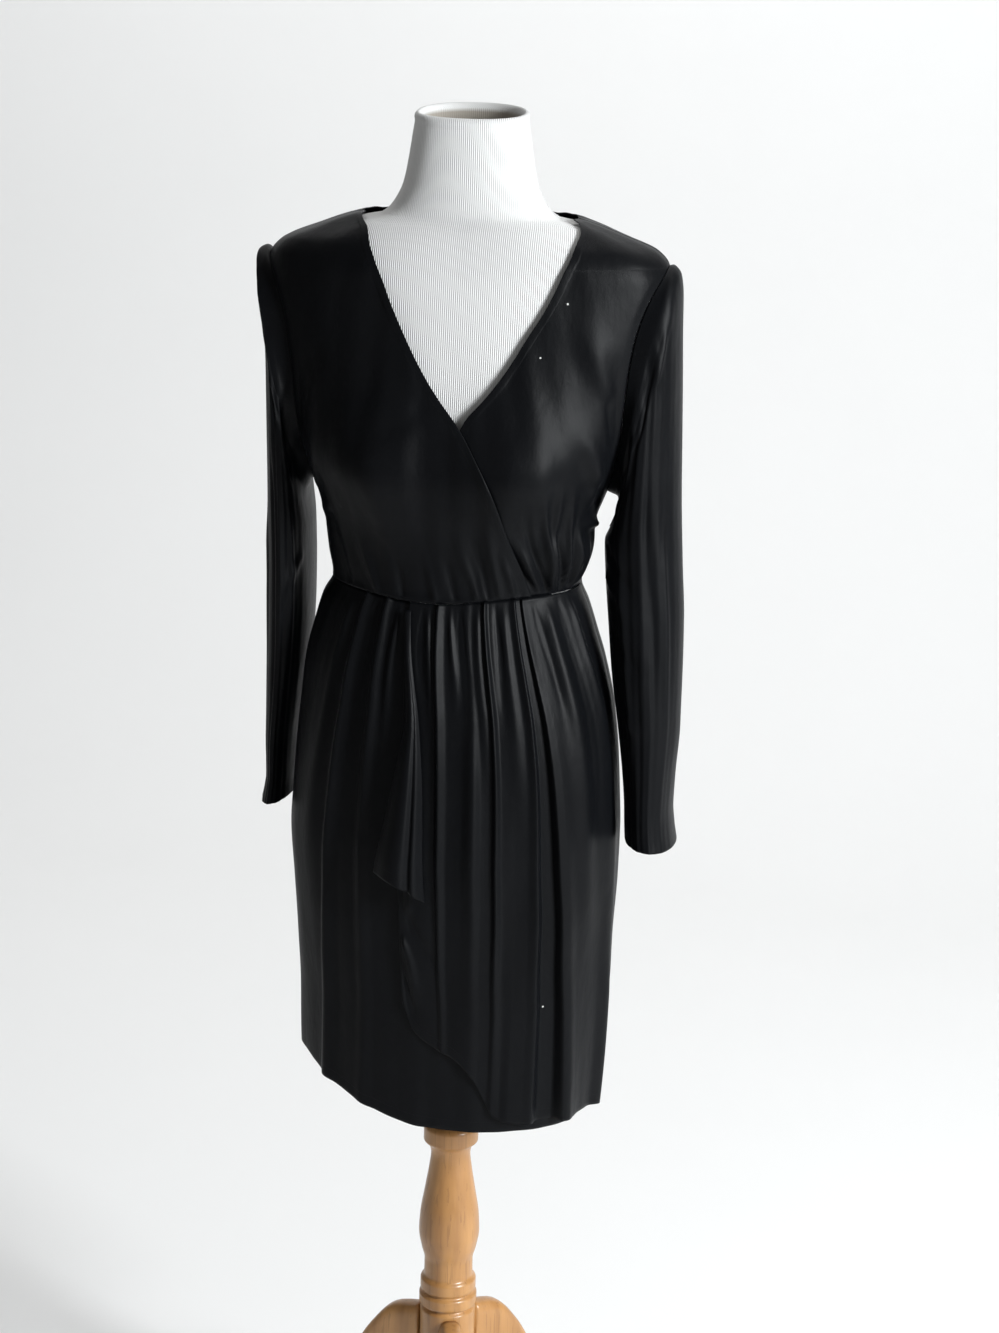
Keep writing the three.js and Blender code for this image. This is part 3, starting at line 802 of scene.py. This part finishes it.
def bodice_rows():
    """Heights of the rows, close together at the armhole's ends and the shoulder."""
    low_part = np.linspace(WAIST + 0.2, ARMHOLE_BOTTOM, int(36 * FINE))[:-1]
    phase = np.linspace(0, pi, int(72 * FINE))
    hole = ARMHOLE_BOTTOM + (ARMHOLE_TOP - ARMHOLE_BOTTOM) * (1 - np.cos(phase)) / 2
    top = np.linspace(ARMHOLE_TOP, NECK_TOP, int(24 * FINE))[1:]
    return np.concatenate((low_part, hole, top))


def bodice_piece(name, columns, first, last, out, creases, free, seed, strength=1.5,
                 deepest=lambda angle, z: -LEAST_DEPTH):
    """One piece of the bodice, from one edge round to the other."""
    rows = bodice_rows()[:, None]
    share = steps(columns)[None, :]
    angle = first(rows) + (last(rows) - first(rows)) * share
    z = rows + waist_seam(angle) * (1 - ease((rows - WAIST) / 60))
    flat_points = on_body(angle, z, np.zeros_like(angle))
    free_edge, along = edge_distance(flat_points, free)
    side = edge_distance(flat_points, ["first", "last"])[0]
    hold = ease((rows - WAIST) / 10 + 0.15) * ease(side / 14)
    swell = strength * creased(angle, z, creases, 2.4) + ripple(angle, z, seed, 0.6)
    lifted = out(angle, z) + np.maximum(swell * hold, deepest(angle, z))
    lifted = lifted + TURNING_LIFT * (free_edge < TURNING)
    return cloth(name, on_body(angle, z, lifted + SKIN), on_body(angle, z, lifted),
                 free_edge, along, JERSEY)


right_edge, left_edge = curve(RIGHT_FRONT_EDGE), curve(LEFT_FRONT_EDGE)


def right_front_lift(angle, z):
    """The right front laps over the left one and settles down to it at the crossing."""
    return LAP_LIFT * ease((180 - angle) / 25)


def left_front_lift(angle, z):
    """The left front puffs out over the waist seam at the side."""
    puff = ease((52 - angle) / 15) * ease(angle / 8)
    return GATHER_PUFF * puff * np.exp(-(((z - GATHER_HEIGHT) / GATHER_REACH) ** 2))


bodice_right = bodice_piece(
    "bodice_front_right", 130, right_edge, lambda z: 180 - armhole_reach(z, ARMHOLE_FRONT),
    right_front_lift, RIGHT_FRONT_CREASES, ["first"], 1.0)
bodice_left = bodice_piece(
    "bodice_front_left", 130, lambda z: armhole_reach(z, ARMHOLE_FRONT), left_edge,
    left_front_lift, LEFT_FRONT_CREASES, ["last"], 2.0, 2.3,
    lambda angle, z: -LEAST_DEPTH - 0.8 * left_front_lift(angle, z))
bodice_back = bodice_piece(
    "bodice_back", 130, lambda z: 180 + armhole_reach(z, ARMHOLE_BACK),
    lambda z: 360 - armhole_reach(z, ARMHOLE_BACK), lambda angle, z: 0 * angle,
    BACK_BODICE_CREASES, ["top"], 3.0)


# ---- Skirt ----
def skirt_panel(name, columns, folds, hem, creases, free, seed):
    """One panel of the skirt, its folds running from the waist to the hem."""
    place = np.linspace(0, len(folds) - 1, max(int(columns * FINE), 40))
    numbered = [(i, *row) for i, row in enumerate(folds)]
    waist, foot, top, middle, low_end = (curve(numbered, i)(place)[None, :] for i in range(1, 6))
    share = steps(150)[:, None]
    wander = 0.5 * np.sin(share * 7 + seed) * np.sin(pi * share)
    angle = foot + (waist - foot) * share
    inside = ease((angle - angle[:, :1]) / 12) * ease((angle[:, -1:] - angle) / 12)
    angle = angle + wander * inside
    seam = WAIST - 0.2 + waist_seam(angle)
    bottom = curve(hem)(angle)
    z = bottom + (seam - bottom) * share
    swell = np.where(
        share < 0.5, low_end + (middle - low_end) * ease(share * 2),
        middle + (top - middle) * ease(share * 2 - 1))
    swell = swell + PLEAT_SWELL * np.maximum(swell - PLEAT_BASE, 0) * ease((1 - share) * 8)
    flat_points = on_body(angle, z, swell)
    free_edge, along = edge_distance(flat_points, free)
    side = edge_distance(flat_points, ["first", "last"])[0]
    hold = ease((1 - share) * 14 + 0.1) * ease(side / 12)
    soft = 1.7 * creased(angle, z, creases, 2.5) + ripple(angle, z, seed, 0.5)
    swell = swell + np.maximum(soft * hold, -1.0 - 0.4 * np.maximum(swell - 3, 0))
    return cloth(name, on_body(angle, z, swell + SKIN), on_body(angle, z, swell),
                 free_edge, along, HEMMED_JERSEY)


skirt_over = skirt_panel("skirt_front_over", 230, OVER_FOLDS, OVER_HEM, OVER_SKIRT_CREASES,
                         ["bottom", "last"], 1.4)
skirt_under = skirt_panel("skirt_front_under", 170, UNDER_FOLDS, UNDER_HEM,
                          UNDER_SKIRT_CREASES, ["bottom"], 2.2)
skirt_back = skirt_panel("skirt_back", 190, BACK_FOLDS, BACK_HEM, BACK_SKIRT_CREASES,
                         ["bottom"], 3.6)


def cascade_fold():
    """The wrap's loose corner, falling in a cone with a second, narrow fold beside it."""
    near, far, swell = (curve(CASCADE, i) for i in (1, 2, 3))
    z = np.linspace(CASCADE[0][0], CASCADE[-1][0], max(int(110 * FINE), 20))[:, None]
    share = steps(90)[None, :]
    open_down = ease((1116 - z) / 230)
    drop = CASCADE_DROP * (1 - share) ** 2 * ease((970 - z) / 125)
    second = 0.1 * np.exp(-(((share - 0.16) / 0.09) ** 2)) * open_down
    dip = -0.18 * np.exp(-(((share - 0.3) / 0.07) ** 2)) * open_down
    rise = swell(z) * (np.sin(pi * (0.08 + 0.84 * share)) + second + dip)
    angle = near(z) + (far(z) - near(z)) * share
    out = LAP_LIFT + CLOTH_WALL + 1.4 + np.maximum(rise, 0)
    height = z - drop
    points = on_body(angle, height, out + SKIN)
    free_edge, along = edge_distance(points, ["bottom"])
    return cloth("skirt_cascade", points, on_body(angle, height, out),
                 free_edge, along, HEMMED_JERSEY)


cascade = cascade_fold()


# ---- Sleeves ----
def sleeve(name, sections, side, creases, seed):
    """A long sleeve from the armhole to its cuff."""
    turn = np.linspace(0, 2 * pi, max(int(130 * FINE), 24), endpoint=False)
    share = (1 - np.cos(turn)) / 2
    reach = np.where(np.sin(turn) > 0, ARMHOLE_FRONT, ARMHOLE_BACK) * np.sin(turn)
    hole_z = ARMHOLE_BOTTOM + (ARMHOLE_TOP - ARMHOLE_BOTTOM) * share
    armhole = on_body(reach if side > 0 else 180 - reach, hole_z, np.full_like(turn, 1.4))
    rings = [armhole]
    for out_x, out_z, in_x, in_z, depth, back in sections:
        rings.append(np.stack((
            side * (in_x + (out_x - in_x) * share),
            back - depth * np.sin(turn),
            in_z + (out_z - in_z) * share), -1))
    rings = np.array(rings)
    knots = [(i, *ring.ravel()) for i, ring in enumerate(rings)]
    place = np.linspace(0, len(rings) - 1, max(int(170 * FINE), 30))
    smooth = np.array([curve(knots, i + 1)(place) for i in range(rings[0].size)])
    points = smooth.T.reshape(len(place), len(turn), 3)
    up = np.gradient(points, axis=0)
    round_way = np.roll(points, -1, axis=1) - np.roll(points, 1, axis=1)
    outward = np.cross(round_way, up)
    middle = points.mean(axis=1, keepdims=True)
    outward *= np.sign((outward * (points - middle)).sum(-1, keepdims=True))
    outward /= np.linalg.norm(outward, axis=-1, keepdims=True)
    degrees = np.degrees(turn)[None, :]
    soft = creased(degrees, points[..., 2], creases, 1.3)
    soft = soft + ripple(degrees, points[..., 2], seed, 0.5) * np.sin(turn)[None, :] ** 2
    hold = ease(place[:, None] / 1.5) * ease(np.sin(turn / 2) * 4)[None, :]
    outer = points + outward * (soft * hold)[..., None]
    down = np.linalg.norm(np.diff(points, axis=0), axis=2)
    run = np.concatenate((np.zeros((1, len(turn))), np.cumsum(down, axis=0)))
    free_edge = run[-1:] - run
    along = np.broadcast_to(degrees * 0.85, free_edge.shape)
    return cloth(name, outer, outer - outward * SLEEVE_SKIN, free_edge, along, HEMMED_JERSEY,
                 closed=True, turned=side > 0)


sleeve_left = sleeve("sleeve_left", LEFT_SLEEVE, 1, LEFT_SLEEVE_CREASES, 1.0)
sleeve_right = sleeve("sleeve_right", RIGHT_SLEEVE, -1, RIGHT_SLEEVE_CREASES, 2.0)


# ---- Dress form ----
def ring_stack(name, rings, marks, material):
    """A closed body through rings of points, capped at both ends."""
    count, sides = rings.shape[:2]
    quads = grid_quads(count, sides, 0, False, True)
    quads.append(tuple(range(sides))[::-1])
    quads.append(tuple(range((count - 1) * sides, count * sides)))
    piece = mesh_piece("display_" + name, rings.reshape(-1, 3), quads, marks, material)
    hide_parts(name)


def dress_form():
    """The limbless form with its open neck."""
    angle = np.linspace(0, 360, int(160 * FINE), endpoint=False)
    heights = np.concatenate((
        np.linspace(FORM_BOTTOM, 1440, int(70 * FINE)), np.linspace(1444, 1503, int(30 * FINE))))
    rings = [body_line(angle, np.full_like(angle, z), FORM_EASE) for z in heights]
    half, front, back = (curve(NECK, i) for i in (1, 2, 3))
    bottom, rim = NECK[0][0], NECK[-1][0]

    def neck_ring(profile_z, inset, z):
        ring = around(angle, oval_radius(angle, half(profile_z) - inset,
                                         front(profile_z) - inset, back(profile_z) - inset),
                      np.full_like(angle, z))
        ring[:, 2] += NECK_TILT * ring[:, 1] * ease((z - bottom) / (rim - bottom))
        return ring

    rings += [neck_ring(z, 0, z) for z in np.linspace(bottom, rim - 7, int(50 * FINE))]
    for inset, lift in ((-1.2, -5), (-1.6, -2), (-1.0, 0.8), (1.0, 2.6), (3.2, 2.8), (5, 1),
                        (6, -2)):
        rings.append(neck_ring(rim, inset, rim + lift))
    outside = len(rings)
    rings += [neck_ring(rim, NECK_RIM, rim - depth)
              for depth in np.linspace(6, NECK_RECESS, int(20 * FINE))]
    rings = np.array(rings)
    chord = np.linalg.norm(np.roll(rings, -1, axis=1) - rings, axis=2)
    run = np.cumsum(chord, axis=1) - chord
    front_at = len(angle) // 4
    marks = {
        "along_mm": run - run[:, front_at:front_at + 1],
        "edge_mm": np.repeat((np.arange(len(rings)) >= outside).astype(float), len(angle)),
    }
    ring_stack("form_body", rings, marks, RIB_KNIT)


dress_form()


# ---- Stand ----
def no_marks(rings):
    """Wood has no edge or knit to mark."""
    zeros = np.zeros(rings.shape[:2])
    return {"along_mm": zeros, "edge_mm": zeros}


def turned_post():
    """The turned post, round and smooth."""
    radius = curve([(z, r) for r, z in POST])
    z = np.concatenate((np.linspace(168, 520, int(240 * FINE)), np.linspace(530, 789.6, 10)))
    angle = np.linspace(0, 360, 64, endpoint=False)
    rings = np.array([around(angle, radius(h), np.full_like(angle, h)) for h in z])
    ring_stack("stand_post", rings, no_marks(rings), OAK)


def leg(number, direction):
    """A bowed leg, thick at the hub, with a flat foot."""
    place = np.linspace(0, len(LEG) - 1, int(80 * FINE))
    out, middle, tall, wide = (
        curve([(i, *row) for i, row in enumerate(LEG)], i)(place) for i in (1, 2, 3, 4))
    slope = np.arctan2(np.gradient(middle), np.gradient(out))
    slope[0] = 0
    turn = np.linspace(0, 2 * pi, 28, endpoint=False)
    side = np.sign(np.cos(turn)) * np.abs(np.cos(turn)) ** LEG_SQUARENESS / 2
    rise = np.sign(np.sin(turn)) * np.abs(np.sin(turn)) ** LEG_SQUARENESS / 2
    outward = around(direction, 1.0, 0.0)
    sideways = around(direction + 90, 1.0, 0.0)
    rings = []
    for o, m, t, w, s in zip(out, middle, tall, wide, slope):
        ring = outward * (o - t * rise * sin(s))[:, None] + sideways * (w * side)[:, None]
        ring[:, 2] = np.maximum(m + t * rise * cos(s), 0)
        rings.append(ring)
    rings = np.array(rings)
    ring_stack(f"stand_leg_{number}", rings, no_marks(rings), OAK)


turned_post()
for number, direction in enumerate(LEG_ANGLES, 1):
    leg(number, direction)


# ---- Floor, light and camera ----
def studio():
    """A pale floor that turns up into a pale backdrop."""
    points, quads = [], []
    profile = [(-6.0, 0.0), (2.2, 0.0)]
    profile += [(2.2 + 1.2 * sin(a), 1.2 - 1.2 * cos(a)) for a in np.linspace(0.1, pi / 2, 14)]
    profile += [(3.4, 6.0)]
    for y, z in profile:
        points += [(-7, y, z), (7, y, z)]
    for i in range(len(profile) - 1):
        a = 2 * i
        quads.append((a, a + 1, a + 3, a + 2))
    mesh = bpy.data.meshes.new("studio_floor")
    mesh.from_pydata(points, [], quads)
    mesh.polygons.foreach_set("use_smooth", [True] * len(mesh.polygons))
    floor = bpy.data.objects.new("studio_floor", mesh)
    bpy.context.collection.objects.link(floor)
    paper, tree, shader = plain_material("pale paper", (0.86, 0.86, 0.85), 0.95)
    mottle = noise(tree, 3.0)
    tree.links.new(blend_colours(tree, mottle, (0.85, 0.85, 0.845, 1), (0.87, 0.87, 0.865, 1)),
                   shader.inputs["Base Color"])
    mesh.materials.append(paper)


def lamp(name, place, target, power, width, tall, colour=(1, 1, 1)):
    """A soft panel of light aimed at a spot."""
    light = bpy.data.lights.new(name, "AREA")
    light.shape, light.size, light.size_y = "RECTANGLE", width, tall
    light.energy, light.color = power, colour
    lamp_object = bpy.data.objects.new(name, light)
    lamp_object.location = place
    aim = Vector(target) - Vector(place)
    lamp_object.rotation_euler = aim.to_track_quat("-Z", "Y").to_euler()
    bpy.context.collection.objects.link(lamp_object)


def camera():
    """The camera looks a little down from the wearer's left, with a slight roll."""
    around_turn, aim, down, roll = (radians(a) for a in (9.0, 0.83, 15.15, 1.4))
    distance, height, lens = 2.85, 1.805, 74.81
    ahead = Vector((-sin(around_turn), cos(around_turn), 0))
    right = Vector((cos(around_turn), sin(around_turn), 0))
    ahead, right = ahead * cos(aim) + right * sin(aim), right * cos(aim) - ahead * sin(aim)
    look = ahead * cos(down) - Vector((0, 0, sin(down)))
    up = right.cross(look)
    right, up = right * cos(roll) + up * sin(roll), up * cos(roll) - right * sin(roll)
    data = bpy.data.cameras.new("camera")
    data.lens, data.sensor_width = lens, 36.0
    eye = bpy.data.objects.new("camera", data)
    turned = Matrix((right, up, -look)).transposed().to_4x4()
    place = Vector((POST_AT[0] + distance * sin(around_turn),
                    POST_AT[1] - distance * cos(around_turn), height))
    eye.matrix_world = Matrix.Translation(place) @ turned
    bpy.context.collection.objects.link(eye)
    bpy.context.scene.camera = eye


studio()
lamp("window side", (2.6, -1.5, 2.0), (0.05, 0, 1.1), 158, 0.7, 1.2, (0.95, 0.98, 1.0))
lamp("backdrop wash", (0, 1.2, 4.2), (0, 3.4, 0.6), 95, 5.0, 1.2)
lamp("weak fill", (-1.6, -3.2, 2.0), (0, 0, 1.3), 4, 1.0, 1.0)
world = bpy.data.worlds.new("room light")
world.use_nodes = True
sky = world.node_tree.nodes["Background"]
sky.inputs["Color"].default_value = (1, 1, 1, 1)
sky.inputs["Strength"].default_value = 0.12
bpy.context.scene.world = world
bpy.context.scene.view_settings.view_transform = "Standard"
camera()
